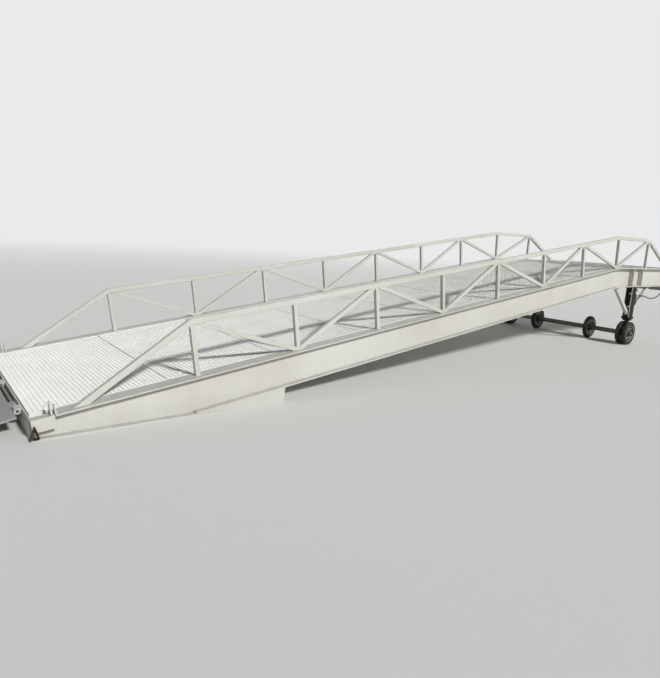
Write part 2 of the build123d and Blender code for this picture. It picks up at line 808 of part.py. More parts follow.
# Tow gear: a rectangular socket beside each web's end, two lugs with one bore, and a shackle
flange_along = low_along + flange_setback / cos(angle)
socket_length = flange_along - low_along - socket_gap
lug_outer_start = flange_along - lug_gap - lug_thickness
socket_middle = beam_y + web_thickness / 2 + socket_width / 2
for side, sign in side_sign.items():
    with BuildPart() as tow_socket:
        with BuildSketch(section_plane(low_along)):
            with Locations((sign * socket_middle, -socket_height / 2)):
                Rectangle(socket_width, socket_height)
                inner = (socket_width - 2 * socket_wall, socket_height - 2 * socket_wall)
                Rectangle(*inner, mode=Mode.SUBTRACT)
        extrude(amount=socket_length)
    tow_socket.part.label = f"tow_socket_{side}"
    export_step(tow_socket.part, f"parts/tow_socket_{side}.step")

    with BuildPart() as tow_lugs:
        for start, height in (
            (lug_outer_start, lug_heights["outer"]),
            (lug_outer_start + lug_thickness + lug_gap, lug_heights["inner"]),
        ):
            with BuildSketch(section_plane(start)):
                with Locations((sign * socket_middle, height / 2)):
                    Rectangle(lug_width, height)
                chamfer(vertices().group_by(Axis.Y)[-1], lug_chamfer)
                with Locations((sign * socket_middle, lug_bore_height)):
                    Circle(lug_bore / 2, mode=Mode.SUBTRACT)
            extrude(amount=lug_thickness)
    tow_lugs.part.label = f"tow_lugs_{side}"
    export_step(tow_lugs.part, f"parts/tow_lugs_{side}.step")

    link_x = low_x + link_place
    link_pin_z = incline_z(link_x, link_drop)
    socket_face = sign * (beam_y + web_thickness / 2 + socket_width)
    outward = Plane(origin=(link_x, socket_face, link_pin_z), x_dir=(-sign, 0, 0), z_dir=(0, sign, 0))
    link_top = link_pin_radius + link_bar
    with BuildPart() as tow_link:
        with BuildSketch(outward):
            Circle(link_pin_radius)
        extrude(amount=link_bar + 2 * pipe_clearance)
        with BuildSketch(outward.offset(pipe_clearance)):
            Polygon(
                (0, link_top + link_bar),
                (link_width / 2, link_top - link_height),
                (-link_width / 2, link_top - link_height),
                align=None,
            )
            fillet(vertices(), link_bar / 2)
            offset(amount=-link_bar, mode=Mode.SUBTRACT)
        extrude(amount=link_bar)
    tow_link.part.label = f"tow_link_{side}"
    export_step(tow_link.part, f"parts/tow_link_{side}.step")
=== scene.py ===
from math import cos, pi, radians, sin, tan

import bmesh
import bpy
from mathutils import Matrix, Vector


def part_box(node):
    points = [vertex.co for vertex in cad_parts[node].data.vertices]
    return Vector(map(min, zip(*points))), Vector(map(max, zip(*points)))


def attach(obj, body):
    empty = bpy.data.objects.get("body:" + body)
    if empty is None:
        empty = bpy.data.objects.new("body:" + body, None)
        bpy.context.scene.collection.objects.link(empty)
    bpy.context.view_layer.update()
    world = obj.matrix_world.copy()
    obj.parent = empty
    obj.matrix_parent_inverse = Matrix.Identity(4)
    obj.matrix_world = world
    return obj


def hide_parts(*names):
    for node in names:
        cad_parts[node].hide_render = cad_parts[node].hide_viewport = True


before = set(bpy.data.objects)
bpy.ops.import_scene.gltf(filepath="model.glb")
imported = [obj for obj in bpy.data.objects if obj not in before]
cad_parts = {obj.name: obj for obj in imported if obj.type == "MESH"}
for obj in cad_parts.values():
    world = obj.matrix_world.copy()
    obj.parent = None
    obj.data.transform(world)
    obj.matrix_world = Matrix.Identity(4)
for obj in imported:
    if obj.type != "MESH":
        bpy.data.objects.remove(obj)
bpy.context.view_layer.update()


# Camera. It looks up along the ramp from off its near side by the ground end, at head height
# and with the picture's slight tilt. Lengths are in metres throughout.
def placed(name, data):
    """A new object in the scene, made of the given mesh, curve, camera or light."""
    piece = bpy.data.objects.new(name, data)
    bpy.context.scene.collection.objects.link(piece)
    return piece


eye = Vector((-5.6175, -5.241, 1.509))
heading, dip, tilt = radians(51.87), radians(10.6), radians(3.17)
focal_length = 29.31  # millimetres, on a 36 mm long side
ahead = Vector((cos(heading) * cos(dip), sin(heading) * cos(dip), -sin(dip)))
level = Vector((sin(heading), -cos(heading), 0))
upright = level.cross(ahead)
rightward = cos(tilt) * level + sin(tilt) * upright
upward = cos(tilt) * upright - sin(tilt) * level
camera = placed("camera", bpy.data.cameras.new("camera"))
camera.data.lens = focal_length
camera.data.sensor_width = 36
camera.data.clip_end = 300
turn = Matrix((rightward, upward, -ahead)).transposed()
camera.matrix_world = Matrix.Translation(eye) @ turn.to_4x4()
bpy.context.scene.camera = camera


# Stringers. Each is a welded I-beam of plate, two flanges on a web, that rises to a kink and
# then runs level. The steel is shot-blasted and sprayed light grey, and has stood outdoors.
low_corner, high_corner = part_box("stringer_web_near")
flange_low, flange_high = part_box("stringer_flanges_near")
low_x, end_x, kink_z = low_corner.x, high_corner.x, flange_high.z
beam_y = -(low_corner.y + high_corner.y) / 2
slope = radians(7.7)
panel = 1.0
incline_length = 7 * panel
platform_length = 2.4
beam_depth, beam_width = 0.3, 0.15
web_thickness, flange_thickness = 0.008, 0.011
ground_level = 0.012  # of the web's lower edge, on the shoe's sole
kink_x = end_x - platform_length
first_post_x = kink_x - incline_length * cos(slope)
first_post_z = kink_z - incline_length * sin(slope)
low_along = (low_x - first_post_x) / cos(slope)
flange_along = (flange_low.x - first_post_x) / cos(slope)
heel_along = -(first_post_z - beam_depth / cos(slope) - ground_level) / sin(slope)
far_along = incline_length + platform_length
sides = {"near": -beam_y, "far": beam_y}


def on_deck(along, height, y):
    """Point at a distance along the beams' top from the first post, and square above it."""
    if along < incline_length:
        x = first_post_x + along * cos(slope) - height * sin(slope)
        return Vector((x, y, first_post_z + along * sin(slope) + height * cos(slope)))
    if along == incline_length:
        return Vector((kink_x - height * tan(slope / 2), y, kink_z + height))
    return Vector((kink_x + along - incline_length, y, kink_z + height))


def linear(code):
    """An sRGB hex colour as linear red, green, blue and alpha."""
    parts = [int(code[at : at + 2], 16) / 255 for at in (0, 2, 4)]
    return (*[c / 12.92 if c < 0.04045 else ((c + 0.055) / 1.055) ** 2.4 for c in parts], 1)


def add(tree, kind, inputs=None, **settings):
    """A new node with its settings. Each input, by name or number, takes a value, the output
    that feeds it, or a node, whose first output in use feeds it. In a map range 1 and 2 are the
    limits of what comes in, 3 and 4 of what goes out; in a colour mix 6 and 7 are the colours."""
    node = tree.nodes.new(kind)
    for key, value in settings.items():
        setattr(node, key, value)
    for key, value in (inputs or {}).items():
        if isinstance(value, bpy.types.Node):
            value = next(socket for socket in value.outputs if socket.enabled)
        if isinstance(value, bpy.types.NodeSocket):
            tree.links.new(value, node.inputs[key])
        else:
            node.inputs[key].default_value = value
    return node


def coat(name):
    """A new material, its tree, its shader's inputs and the coordinates its patterns follow."""
    material = bpy.data.materials.new(name)
    material.use_nodes = True
    tree = material.node_tree
    place = add(tree, "ShaderNodeTexCoord").outputs
    return material, tree, tree.nodes["Principled BSDF"].inputs, place


def enamel(name, paint, faded, roughness, chipped, dust):
    """Sprayed enamel on steel. It has faded in broad clouds, rain has drawn grey streaks down its
    upright faces and mud has splashed its foot. The dust share draws its upper faces towards a
    cool grey: partly dust, partly painted shade for the dim sky-lit tone of tops. It has chipped
    down to rust where the fine noise is over chipped."""
    material, tree, shader, position = coat(name)
    place = position["Object"]
    facing_up = add(tree, "ShaderNodeSeparateXYZ", {0: position["Normal"]}).outputs["Z"]
    height = add(tree, "ShaderNodeSeparateXYZ", {0: place}).outputs["Z"]

    # Clouds 0.8 m across
    cloud = add(tree, "ShaderNodeTexNoise", {"Vector": place, "Scale": 1.3, "Detail": 5})
    cloud = add(tree, "ShaderNodeMapRange", {0: cloud, 1: 0.35, 2: 0.65})
    colour = add(tree, "ShaderNodeMix", {0: cloud, 6: linear(paint), 7: linear(faded)}, data_type="RGBA")

    # Streaks 30 mm wide and 0.8 m long, on faces that stand up
    stretched = add(tree, "ShaderNodeMapping", {"Vector": place, "Scale": (33, 33, 1.2)})
    streak = add(tree, "ShaderNodeTexNoise", {"Vector": stretched, "Scale": 1, "Detail": 3})
    streak = add(tree, "ShaderNodeMapRange", {0: streak, 1: 0.5, 2: 0.8, 4: 0.08})
    steep = add(tree, "ShaderNodeMath", {0: facing_up}, operation="ABSOLUTE")
    steep = add(tree, "ShaderNodeMapRange", {0: steep, 1: 0.3, 2: 0.8, 3: 1, 4: 0})
    streak = add(tree, "ShaderNodeMath", {0: streak, 1: steep}, operation="MULTIPLY")
    colour = add(tree, "ShaderNodeMix", {0: streak, 6: colour, 7: linear("8C8A81")}, data_type="RGBA")

    # Dust and painted sky shade in patches of 100 mm on top, and mud splashes up to 0.16 m from the ground,
    # all in one cool grey
    patch = add(tree, "ShaderNodeTexNoise", {"Vector": place, "Scale": 9, "Detail": 6})
    dust_and_sky_shade_on_top = add(tree, "ShaderNodeMapRange", {0: facing_up, 1: 0.5, 2: 1, 4: dust})
    splashed = add(tree, "ShaderNodeMapRange", {0: height, 1: 0.16, 2: 0.01, 4: 0.35 * dust})
    dirt_and_shade = add(tree, "ShaderNodeMath", {0: dust_and_sky_shade_on_top, 1: splashed}, operation="MAXIMUM")
    patch = add(tree, "ShaderNodeMapRange", {0: patch, 1: 0.3, 2: 0.7, 3: 0.5})
    dirt_and_shade = add(tree, "ShaderNodeMath", {0: dirt_and_shade, 1: patch}, operation="MULTIPLY")
    # The cool grey is dust and mud, and on upper faces it is also painted shade for the sky-lit tops
    colour = add(tree, "ShaderNodeMix", {0: dirt_and_shade, 6: colour, 7: linear("868789")}, data_type="RGBA")

    # Chips 10 to 20 mm across
    chip = add(tree, "ShaderNodeTexNoise", {"Vector": place, "Scale": 60, "Detail": 4})
    chip = add(tree, "ShaderNodeMapRange", {0: chip, 1: chipped, 2: chipped + 0.03})
    rust = add(tree, "ShaderNodeTexNoise", {"Vector": place, "Scale": 160, "Detail": 3})
    rust = add(tree, "ShaderNodeMix", {0: rust, 6: linear("4A342A"), 7: linear("8A5A3C")}, data_type="RGBA")
    colour = add(tree, "ShaderNodeMix", {0: chip, 6: colour, 7: rust}, data_type="RGBA")
    rough = add(tree, "ShaderNodeMapRange", {0: dirt_and_shade, 3: roughness, 4: 0.85})
    rough = add(tree, "ShaderNodeMath", {0: rough, 1: chip}, operation="MAXIMUM")

    # Orange peel of 3 mm, and the paint's edge round each chip
    peel = add(tree, "ShaderNodeTexNoise", {"Vector": place, "Scale": 330, "Detail": 2})
    relief = add(tree, "ShaderNodeMath", {0: chip, 1: -3.0, 2: peel}, operation="MULTIPLY_ADD")
    relief = add(tree, "ShaderNodeBump", {"Strength": 0.35, "Distance": 0.0004, "Height": relief})
    tree.links.new(colour.outputs[2], shader["Base Color"])
    tree.links.new(rough.outputs[0], shader["Roughness"])
    tree.links.new(relief.outputs[0], shader["Normal"])
    return material


# Light grey machinery enamel: a dull satin coat that reads slightly warm beside the zinc
# Its dust share also sets how much painted sky shade darkens its upper faces
frame_paint = enamel(
    "light grey machinery enamel", "CCCBC3", "C2C0B6", roughness=0.5, chipped=0.79, dust=0.5
)
# The same coat on edges, knocked back to steel and rust in small bites
edge_paint = enamel(
    "light grey enamel on worn edges", "D0CFC7", "C1BFB6", roughness=0.5, chipped=0.66, dust=0.2
)


# Width of the dressing on an edge that is sheared, sawn, rolled, or bent round a tube's corner
sheared, sawn, rolled, bent = 0.001, 0.0015, 0.002, 0.004


def settled(piece):
    """The object with what its modifiers make as its own plain mesh."""
    shown = piece.evaluated_get(bpy.context.evaluated_depsgraph_get())
    piece.data = bpy.data.meshes.new_from_object(shown)
    piece.modifiers.clear()
    return piece


def softened(node, dressing, finish=frame_paint, worn=edge_paint, body="ramp"):
    """A CAD piece's own shape with its cut edges dressed, in two finishes, face and edge."""
    shape = bmesh.new()
    shape.from_mesh(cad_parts[node].data)
    bmesh.ops.remove_doubles(shape, verts=shape.verts, dist=1e-5)
    bmesh.ops.dissolve_limit(shape, angle_limit=radians(1), verts=shape.verts, edges=shape.edges)
    edges = [e for e in shape.edges if e.is_manifold and e.calc_face_angle() > radians(30)]
    bmesh.ops.bevel(
        shape,
        geom=edges,
        offset=dressing,
        segments=2,
        profile=0.5,
        affect="EDGES",
        clamp_overlap=True,
        material=1,
    )
    mesh = bpy.data.meshes.new(f"finished_{node}")
    shape.to_mesh(mesh)
    shape.free()
    mesh.materials.append(finish)
    mesh.materials.append(worn)
    mesh.shade_smooth()
    piece = placed(f"finished_{node}", mesh)
    piece.modifiers.new("normals", "WEIGHTED_NORMAL").weight = 100
    settled(piece)
    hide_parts(node)
    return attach(piece, body)


def geometry_tree(name, sizes):
    """A geometry tree with named inputs: the tree, its inputs' outputs and its last node."""
    tree = bpy.data.node_groups.new(name, "GeometryNodeTree")
    tree.interface.new_socket("Geometry", in_out="INPUT", socket_type="NodeSocketGeometry")
    for label, kind in sizes.items():
        tree.interface.new_socket(label, in_out="INPUT", socket_type=f"NodeSocket{kind}")
    tree.interface.new_socket("Geometry", in_out="OUTPUT", socket_type="NodeSocketGeometry")
    return tree, add(tree, "NodeGroupInput").outputs, add(tree, "NodeGroupOutput")


def grown(name, mesh, tree, values):
    """The plain mesh that a geometry tree makes of a mesh, as an object at the origin."""
    piece = placed(name, mesh)
    maker = piece.modifiers.new("maker", "NODES")
    maker.node_group = tree
    for item in tree.interface.items_tree:
        if item.in_out == "INPUT" and item.name in values:
            maker[item.identifier] = values[item.name]
    return settled(piece)


# The weld bead follows each line with a round section that swells and narrows at every ripple
bead_tree, given, result = geometry_tree(
    "weld bead", {"Leg": "Float", "Ripple": "Float", "Seed": "Int", "Finish": "Material"}
)
line = add(bead_tree, "GeometryNodeMeshToCurve", {0: given["Geometry"]})
line = add(
    bead_tree,
    "GeometryNodeResampleCurve",
    {"Curve": line, "Length": given["Ripple"]},
    mode="LENGTH",
)
section = add(bead_tree, "GeometryNodeCurvePrimitiveCircle", {"Resolution": 6, "Radius": given["Leg"]})
swell = add(bead_tree, "FunctionNodeRandomValue", {2: 0.75, 3: 1.1, 8: given["Seed"]}, data_type="FLOAT")
bead = add(bead_tree, "GeometryNodeCurveToMesh", {0: line, 1: section, 2: swell, 3: True})
bead = add(bead_tree, "GeometryNodeSetShadeSmooth", {0: bead})
bead = add(bead_tree, "GeometryNodeRealizeInstances", {0: bead})
bead = add(bead_tree, "GeometryNodeSetMaterial", {0: bead, 2: given["Finish"]})
bead_tree.links.new(bead.outputs[0], result.inputs[0])


bead_leg = 0.004
bead_proud = 0.001  # of the bead's middle, off the faces that it joins


def weld(name, lines, ripple, finish=frame_paint, body="ramp"):
    """Weld beads along lines of points; a line that ends where it starts runs all the way round."""
    points, edges = [], []
    for line in lines:
        closed = (Vector(line[0]) - Vector(line[-1])).length < 1e-6
        start, line = len(points), line[:-1] if closed else line
        points += [Vector(p) for p in line]
        edges += [(start + n, start + n + 1) for n in range(len(line) - 1)]
        if closed:
            edges.append((start + len(line) - 1, start))
    mesh = bpy.data.meshes.new(name)
    mesh.from_pydata(points, edges, [])
    values = {"Leg": bead_leg, "Ripple": ripple, "Seed": len(points), "Finish": finish}
    piece = grown(name, mesh, bead_tree, values)
    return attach(piece, body)


bead_start, bead_end = 0.01, 0.002  # from the flange's two ends
face_off = web_thickness / 2 + bead_proud
for side, middle in sides.items():
    softened(f"stringer_web_{side}", sheared)
    softened(f"stringer_flanges_{side}", rolled)
    seams = []
    for face in (-1, 1):
        y = middle + face * face_off
        for start, depth in (
            (flange_along, flange_thickness + bead_proud),
            (heel_along, beam_depth - flange_thickness - bead_proud),
        ):
            stops = (start + bead_start, incline_length, far_along - bead_end)
            seams.append([on_deck(along, -depth, y) for along in stops])
    weld(f"flange_welds_{side}", seams, ripple=0.03)

# Web stiffeners. Flat bars stand between the flanges on both faces of each web, over the
# legs, and are fillet-welded to the web up both sides.
softened("web_stiffeners", sawn)
stiffener_low, stiffener_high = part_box("web_stiffeners")
leg_x = (stiffener_low.x + stiffener_high.x) / 2
stiffener_thickness = 0.01
stiffener_reach = (stiffener_high.x - stiffener_low.x - stiffener_thickness) / 2
edge_off = stiffener_thickness / 2 + bead_proud
seams = [
    [
        (x + edge * edge_off, y + face * face_off, z)
        for z in (stiffener_low.z + bead_leg, stiffener_high.z - bead_leg)
    ]
    for x in (leg_x - stiffener_reach, leg_x + stiffener_reach)
    for edge in (-1, 1)
    for y in sides.values()
    for face in (-1, 1)
]
weld("stiffener_welds", seams, ripple=0.006)

# Shoes. A flat sole and a boxed wedge of plate close the angle between the ground and each
# beam's bottom flange. They are welded along the web and round the wedge, and painted with it.
wedge_half = 0.073
toe_gap = 0.005  # from the web's end to the bead
wedge_start = 0.06  # from where the bottom flange comes down to the sole
wedge_inset = 0.0035
heel_x = first_post_x + heel_along * cos(slope)
for side, middle in sides.items():
    softened(f"shoe_{side}", rolled)
    shoe_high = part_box(f"shoe_{side}")[1]
    seams = [
        [(x, middle + face * face_off, ground_level + bead_proud) for x in (low_x + toe_gap, heel_x)]
        for face in (-1, 1)
    ]
    front, back = heel_x + wedge_start, shoe_high.x - wedge_inset
    foot, top = ground_level + bead_proud / 2, ground_level + wedge_start * tan(slope)
    outline = ((front, foot), (back, foot), (back, shoe_high.z - bead_proud), (front, top), (front, foot))
    seams += [[(x, middle + face * wedge_half, z) for x, z in outline] for face in (-1, 1)]
    weld(f"shoe_welds_{side}", seams, ripple=0.008)

# Cross channels. Rolled channels run from web to web under the grating, twice to a panel,
# and are welded round their backs to the webs.
softened("cross_channels_incline", rolled)
softened("cross_channels_platform", rolled)
grating_depth = 0.04
channel_depth, channel_width = 0.12, 0.055
end_plate_thickness = 0.012
panel_gap = 0.004
kink_clearance = 0.02
incline_panels, platform_panels, platform_channels = 8, 2, 4
grating_start = low_along + end_plate_thickness / cos(slope) + panel_gap
incline_grating = (incline_length - grating_depth * tan(slope) - grating_start) / incline_panels
platform_grating = (platform_length - end_plate_thickness - panel_gap) / platform_panels
channel_pitch = (platform_length - end_plate_thickness) / platform_channels
stations = [
    grating_start + half * incline_grating / 2 - channel_width / 2
    for half in range(1, 2 * incline_panels)
]
stations.append(incline_length - channel_width - kink_clearance)
stations += [incline_length + kink_clearance + n * channel_pitch for n in range(platform_channels)]
top, bottom = -grating_depth, -grating_depth - channel_depth
outline = ((channel_width, top), (0, top), (0, bottom), (channel_width, bottom))
seams = []
for station in stations:
    for middle in sides.values():
        y = middle - (1 if middle > 0 else -1) * face_off
        seams.append([on_deck(station + u, v, y) for u, v in outline])
weld("channel_welds", seams, ripple=0.012)

# Grating panels. Hot-dip galvanised pressed grating: serrated bearing bars across the ramp in
# a flat-bar frame, with thin strips pressed down between their tops. They drop in on the
# cross channels and are held by saddle clips.
bar_pitch, bar_thickness, frame_bar = 0.034, 0.005, 0.008
strip_pitch, strip_thickness, strip_depth = 0.025, 0.003, 0.025
strip_drop = 0.003  # of the strips' tops below the teeth
tooth_depth = 0.004
grating_clearance = 0.005
grating_half = beam_y - beam_width / 2 - grating_clearance


def zinc(name, bright, dull, spangle, grime_and_shade):
    """Hot-dip zinc: crystals of the given width that each take the light a little differently,
    with dull grey patches where it has weathered. Faces that stand across the ramp are drawn
    towards grey by the given share: tyre dirt pressed on them, and painted shade on the
    grating bars' sides."""
    material, tree, shader, position = coat(name)
    place = position["Object"]
    facing_along = add(tree, "ShaderNodeSeparateXYZ", {0: position["Normal"]}).outputs["X"]
    crystal = add(tree, "ShaderNodeTexVoronoi", {"Vector": place, "Scale": 1 / spangle})
    shine = add(tree, "ShaderNodeSeparateColor", {0: crystal.outputs["Color"]}).outputs[0]
    patch = add(tree, "ShaderNodeTexNoise", {"Vector": place, "Scale": 3, "Detail": 6})
    patch = add(tree, "ShaderNodeMapRange", {0: patch, 1: 0.35, 2: 0.65})
    mixed = add(
        tree,
        "ShaderNodeMath",
        {0: shine, 1: 0.4, 2: patch},
        operation="MULTIPLY_ADD",
        use_clamp=True,
    )
    colour = add(tree, "ShaderNodeMix", {0: mixed, 6: linear(bright), 7: linear(dull)}, data_type="RGBA")
    # Painted shade with tyre dirt: faces that stand across the ramp, the bars' sides, go grey
    across = add(tree, "ShaderNodeMath", {0: facing_along}, operation="ABSOLUTE")
    across = add(tree, "ShaderNodeMapRange", {0: across, 1: 0.5, 2: 0.9, 4: grime_and_shade})
    colour = add(tree, "ShaderNodeMix", {0: across, 6: colour, 7: linear("83827C")}, data_type="RGBA")
    rough = add(tree, "ShaderNodeMapRange", {0: mixed, 3: 0.38, 4: 0.6})
    grain = add(tree, "ShaderNodeTexNoise", {"Vector": place, "Scale": 250, "Detail": 3})
    relief = add(tree, "ShaderNodeBump", {"Strength": 0.3, "Distance": 0.0005, "Height": grain})
    shader["Metallic"].default_value = 0.1
    tree.links.new(colour.outputs[2], shader["Base Color"])
    tree.links.new(rough.outputs[0], shader["Roughness"])
    tree.links.new(relief.outputs[0], shader["Normal"])
    return material


# Hot-dip galvanising on the deck: pale, nearly white where new, with faint spangle, and painted shade on the
# bars' sides that face along the ramp
galvanised = zinc("hot-dip galvanised steel", "F8F8F4", "EEEFEB", spangle=0.012, grime_and_shade=0.6)

grating_tree, given, result = geometry_tree(
    "serrated grating",
    {
        "Bar size": "Vector",
        "Bar place": "Vector",
        "Bars": "Int",
        "First bar": "Vector",
        "Bar step": "Vector",
        "Tooth scale": "Vector",
        "First tooth": "Vector",
        "Strip size": "Vector",
        "Strips": "Int",
        "First strip": "Vector",
        "Strip step": "Vector",
        "Side size": "Vector",
        "First side": "Vector",
        "Side step": "Vector",
        "End size": "Vector",
        "First end": "Vector",
        "End step": "Vector",
        "Finish": "Material",
    },
)
bar = add(grating_tree, "GeometryNodeMeshCube", {"Size": given["Bar size"]})
bar = add(grating_tree, "GeometryNodeTransform", {0: bar, 1: given["Bar place"]})
# A tooth is a three-sided prism laid across the bar, one edge up
tooth = add(grating_tree, "GeometryNodeMeshCylinder", {"Vertices": 3, "Radius": 1.0, "Depth": 1.0})
tooth = add(
    grating_tree,
    "GeometryNodeTransform",
    {0: tooth, "Rotation": (0, -pi / 2, 0), "Scale": given["Tooth scale"]},
)
spread = {"Count": given["Strips"], "Start Location": given["First tooth"], "Offset": given["Strip step"]}
row = add(grating_tree, "GeometryNodeMeshLine", spread)
teeth_row = add(grating_tree, "GeometryNodeInstanceOnPoints", {0: row, 2: tooth})
toothed = add(grating_tree, "GeometryNodeJoinGeometry")
grating_tree.links.new(bar.outputs[0], toothed.inputs[0])
grating_tree.links.new(teeth_row.outputs[0], toothed.inputs[0])
gathered = []
for part, count, first, step in (
    (toothed, given["Bars"], "First bar", "Bar step"),
    ("Strip size", given["Strips"], "First strip", "Strip step"),
    ("Side size", 2, "First side", "Side step"),
    ("End size", 2, "First end", "End step"),
):
    if isinstance(part, str):
        part = add(grating_tree, "GeometryNodeMeshCube", {"Size": given[part]})
    spread = {"Count": count, "Start Location": given[first], "Offset": given[step]}
    row = add(grating_tree, "GeometryNodeMeshLine", spread)
    gathered.append(add(grating_tree, "GeometryNodeInstanceOnPoints", {0: row, 2: part}))
joined = add(grating_tree, "GeometryNodeJoinGeometry")
for row in gathered:
    grating_tree.links.new(row.outputs[0], joined.inputs[0])
whole = add(grating_tree, "GeometryNodeRealizeInstances", {0: joined})
whole = add(grating_tree, "GeometryNodeSetMaterial", {0: whole, 2: given["Finish"]})
grating_tree.links.new(whole.outputs[0], result.inputs[0])

bar_length = 2 * (grating_half - frame_bar)
teeth = round(bar_length / strip_pitch)
strips = teeth - 1
tooth_pitch = bar_length / teeth
tooth_radius = tooth_depth / 1.5  # of the circle round the tooth's three corners
strip_start = -(strips - 1) / 2 * tooth_pitch
panel_table = [(grating_start + n * incline_grating, incline_grating) for n in range(incline_panels)]
panel_table += [(incline_length + n * platform_grating, platform_grating) for n in range(platform_panels)]
clip_along, clip_across = 0.14, 0.11  # of the clips, in from a panel's ends and sides
clip_places = []
for number, (start, length) in enumerate(panel_table, 1):
    inside = length - panel_gap
    between = inside - 2 * frame_bar
    slots = round((between + bar_thickness) / bar_pitch)
    pitch = (between + bar_thickness) / slots
    bars = slots - 1
    values = {
        "Bar size": (bar_thickness, bar_length, grating_depth - tooth_depth),
        "Bar place": (0, 0, -(grating_depth + tooth_depth) / 2),
        "Bars": bars,
        "First bar": (-(bars - 1) / 2 * pitch, 0, 0),
        "Bar step": (pitch, 0, 0),
        "Tooth scale": (tooth_radius, tooth_pitch / 3**0.5, bar_thickness),
        "First tooth": (0, strip_start, -tooth_radius),
        "Strip size": (between, strip_thickness, strip_depth),
        "Strips": strips,
        "First strip": (0, strip_start, -strip_depth / 2 - strip_drop),
        "Strip step": (0, tooth_pitch, 0),
        "Side size": (inside, frame_bar, grating_depth),
        "First side": (0, -grating_half + frame_bar / 2, -grating_depth / 2),
        "Side step": (0, 2 * grating_half - frame_bar, 0),
        "End size": (frame_bar, bar_length, grating_depth),
        "First end": ((frame_bar - inside) / 2, 0, -grating_depth / 2),
        "End step": (inside - frame_bar, 0, 0),
        "Finish": galvanised,
    }
    deck = grown(f"deck_panel_{number}", bpy.data.meshes.new("panel"), grating_tree, values)
    middle = on_deck(start + length / 2, 0, 0)
    lean = slope if number <= incline_panels else 0
    laid = Matrix.Translation(middle) @ Matrix.Rotation(-lean, 4, "Y")
    deck.data.transform(laid)
    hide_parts(f"grating_{number}")
    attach(deck, "ramp")
    for along in (start + clip_along, start + length - clip_along):
        for y in (clip_across - grating_half, grating_half - clip_across):
            clip_places.append((on_deck(along, 0, y), Vector((-sin(lean), 0, cos(lean)))))


# Fasteners: a hexagon head or nut on its washer, with the bolt's end standing out of it
bolt_tree, given, result = geometry_tree(
    "hexagon bolts",
    {
        "Across corners": "Float",
        "Head": "Float",
        "Washer radius": "Float",
        "Washer": "Float",
        "Stud radius": "Float",
        "Stud": "Float",
        "Plate": "Vector",
        "Finish": "Material",
    },
)
stack = []
for facets, radius, depth in (
    (6, "Across corners", "Head"),
    (20, "Washer radius", "Washer"),
    (12, "Stud radius", "Stud"),
):
    size = {"Vertices": facets, "Radius": given[radius], "Depth": given[depth]}
    disc = add(bolt_tree, "GeometryNodeMeshCylinder", size)
    half = add(bolt_tree, "ShaderNodeMath", {0: given[depth], 1: 2.0}, operation="DIVIDE")
    lift = add(bolt_tree, "ShaderNodeCombineXYZ", {"Z": half})
    stack.append(add(bolt_tree, "GeometryNodeTransform", {0: disc, 1: lift}))
stack.append(add(bolt_tree, "GeometryNodeMeshCube", {"Size": given["Plate"]}))
joined = add(bolt_tree, "GeometryNodeJoinGeometry")
for part in stack:
    bolt_tree.links.new(part.outputs[0], joined.inputs[0])
facing = add(bolt_tree, "GeometryNodeInputNamedAttribute", {"Name": "facing"}, data_type="FLOAT_VECTOR")
turned_to = add(bolt_tree, "FunctionNodeAlignRotationToVector", {"Vector": facing}, axis="Z")
heads = add(bolt_tree, "GeometryNodeInstanceOnPoints", {0: given["Geometry"], 2: joined, 5: turned_to})
heads = add(bolt_tree, "GeometryNodeRealizeInstances", {0: heads})
heads = add(bolt_tree, "GeometryNodeSetMaterial", {0: heads, 2: given["Finish"]})
bolt_tree.links.new(heads.outputs[0], result.inputs[0])


# Bright zinc plating on fasteners, greyed by weather
plated = zinc("zinc-plated steel", "D2D2CC", "A5A59F", spangle=0.004, grime_and_shade=0)


def bolts(name, places, across, body="ramp", finish=plated, plate=(0, 0, 0), stud=0.0):
    """Hexagon heads of the given width across their flats, at points that each face outwards."""
    mesh = bpy.data.meshes.new(name)
    mesh.from_pydata([point for point, _ in places], [], [])
    outward = mesh.attributes.new("facing", "FLOAT_VECTOR", "POINT")
    for number, (_, direction) in enumerate(places):
        outward.data[number].vector = direction
    values = {
        "Across corners": across / 2 / cos(pi / 6),
        "Head": 0.65 * across,
        "Washer radius": 0.95 * across,
        "Washer": 0.12 * across,
        "Stud radius": 0.3 * across,
        "Stud": stud or 0.7 * across,
        "Plate": plate,
        "Finish": finish,
    }
    piece = grown(name, mesh, bolt_tree, values)
    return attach(piece, body)


clip_bolt, saddle = 0.01, (0.044, 0.02, 0.004)  # the bolt's width and the clip's size
bolts("grating_clips", clip_places, clip_bolt, finish=galvanised, plate=saddle)

